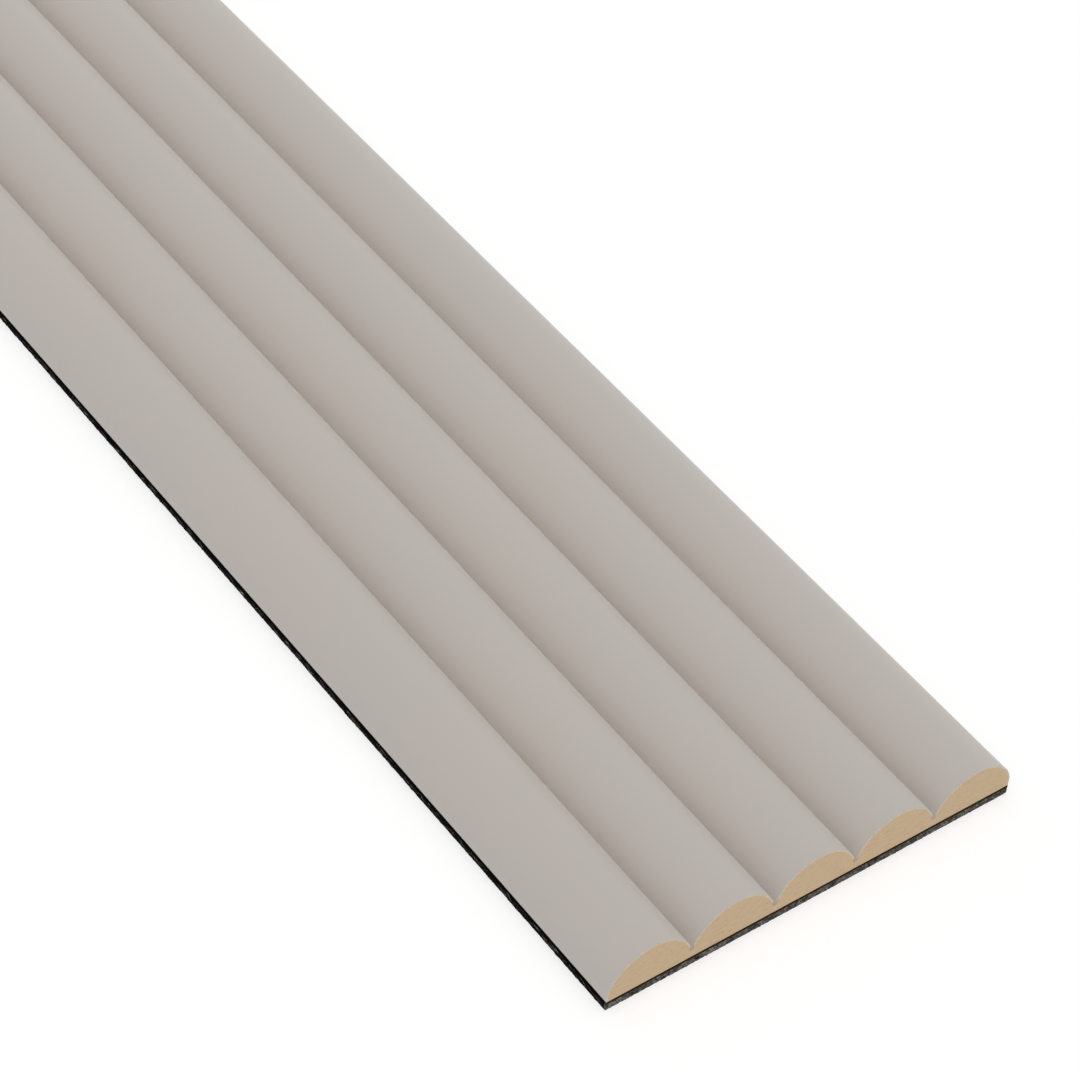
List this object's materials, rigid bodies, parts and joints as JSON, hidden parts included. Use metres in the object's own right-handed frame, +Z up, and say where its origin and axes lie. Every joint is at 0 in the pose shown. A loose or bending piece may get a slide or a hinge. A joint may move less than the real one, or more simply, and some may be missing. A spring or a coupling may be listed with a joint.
{
  "type": "fluted wall panel",
  "caption": "Fluted wall panel of foil-wrapped half-round fibreboard slats, side by side on a thin felt backing.",
  "frame": {"origin": "middle of the felt's underside, the face that is glued to the wall", "axes": "+X across the slats, +Y along them, +Z up through the thickness, away from the wall; the panel lies face up"},
  "size_m": [0.12, 2.7, 0.0149],
  "materials": {
    "foil": "matte",
    "fibreboard": "matte",
    "felt": "matte"
  },
  "bodies": {
    "root": {"felt_backing": "felt", "slat_core_1": "fibreboard", "slat_core_2": "fibreboard", "slat_core_3": "fibreboard", "slat_core_4": "fibreboard", "slat_core_5": "fibreboard", "foil_wrap_1": "foil", "foil_wrap_2": "foil", "foil_wrap_3": "foil", "foil_wrap_4": "foil", "foil_wrap_5": "foil"}
  },
  "joints": []
}
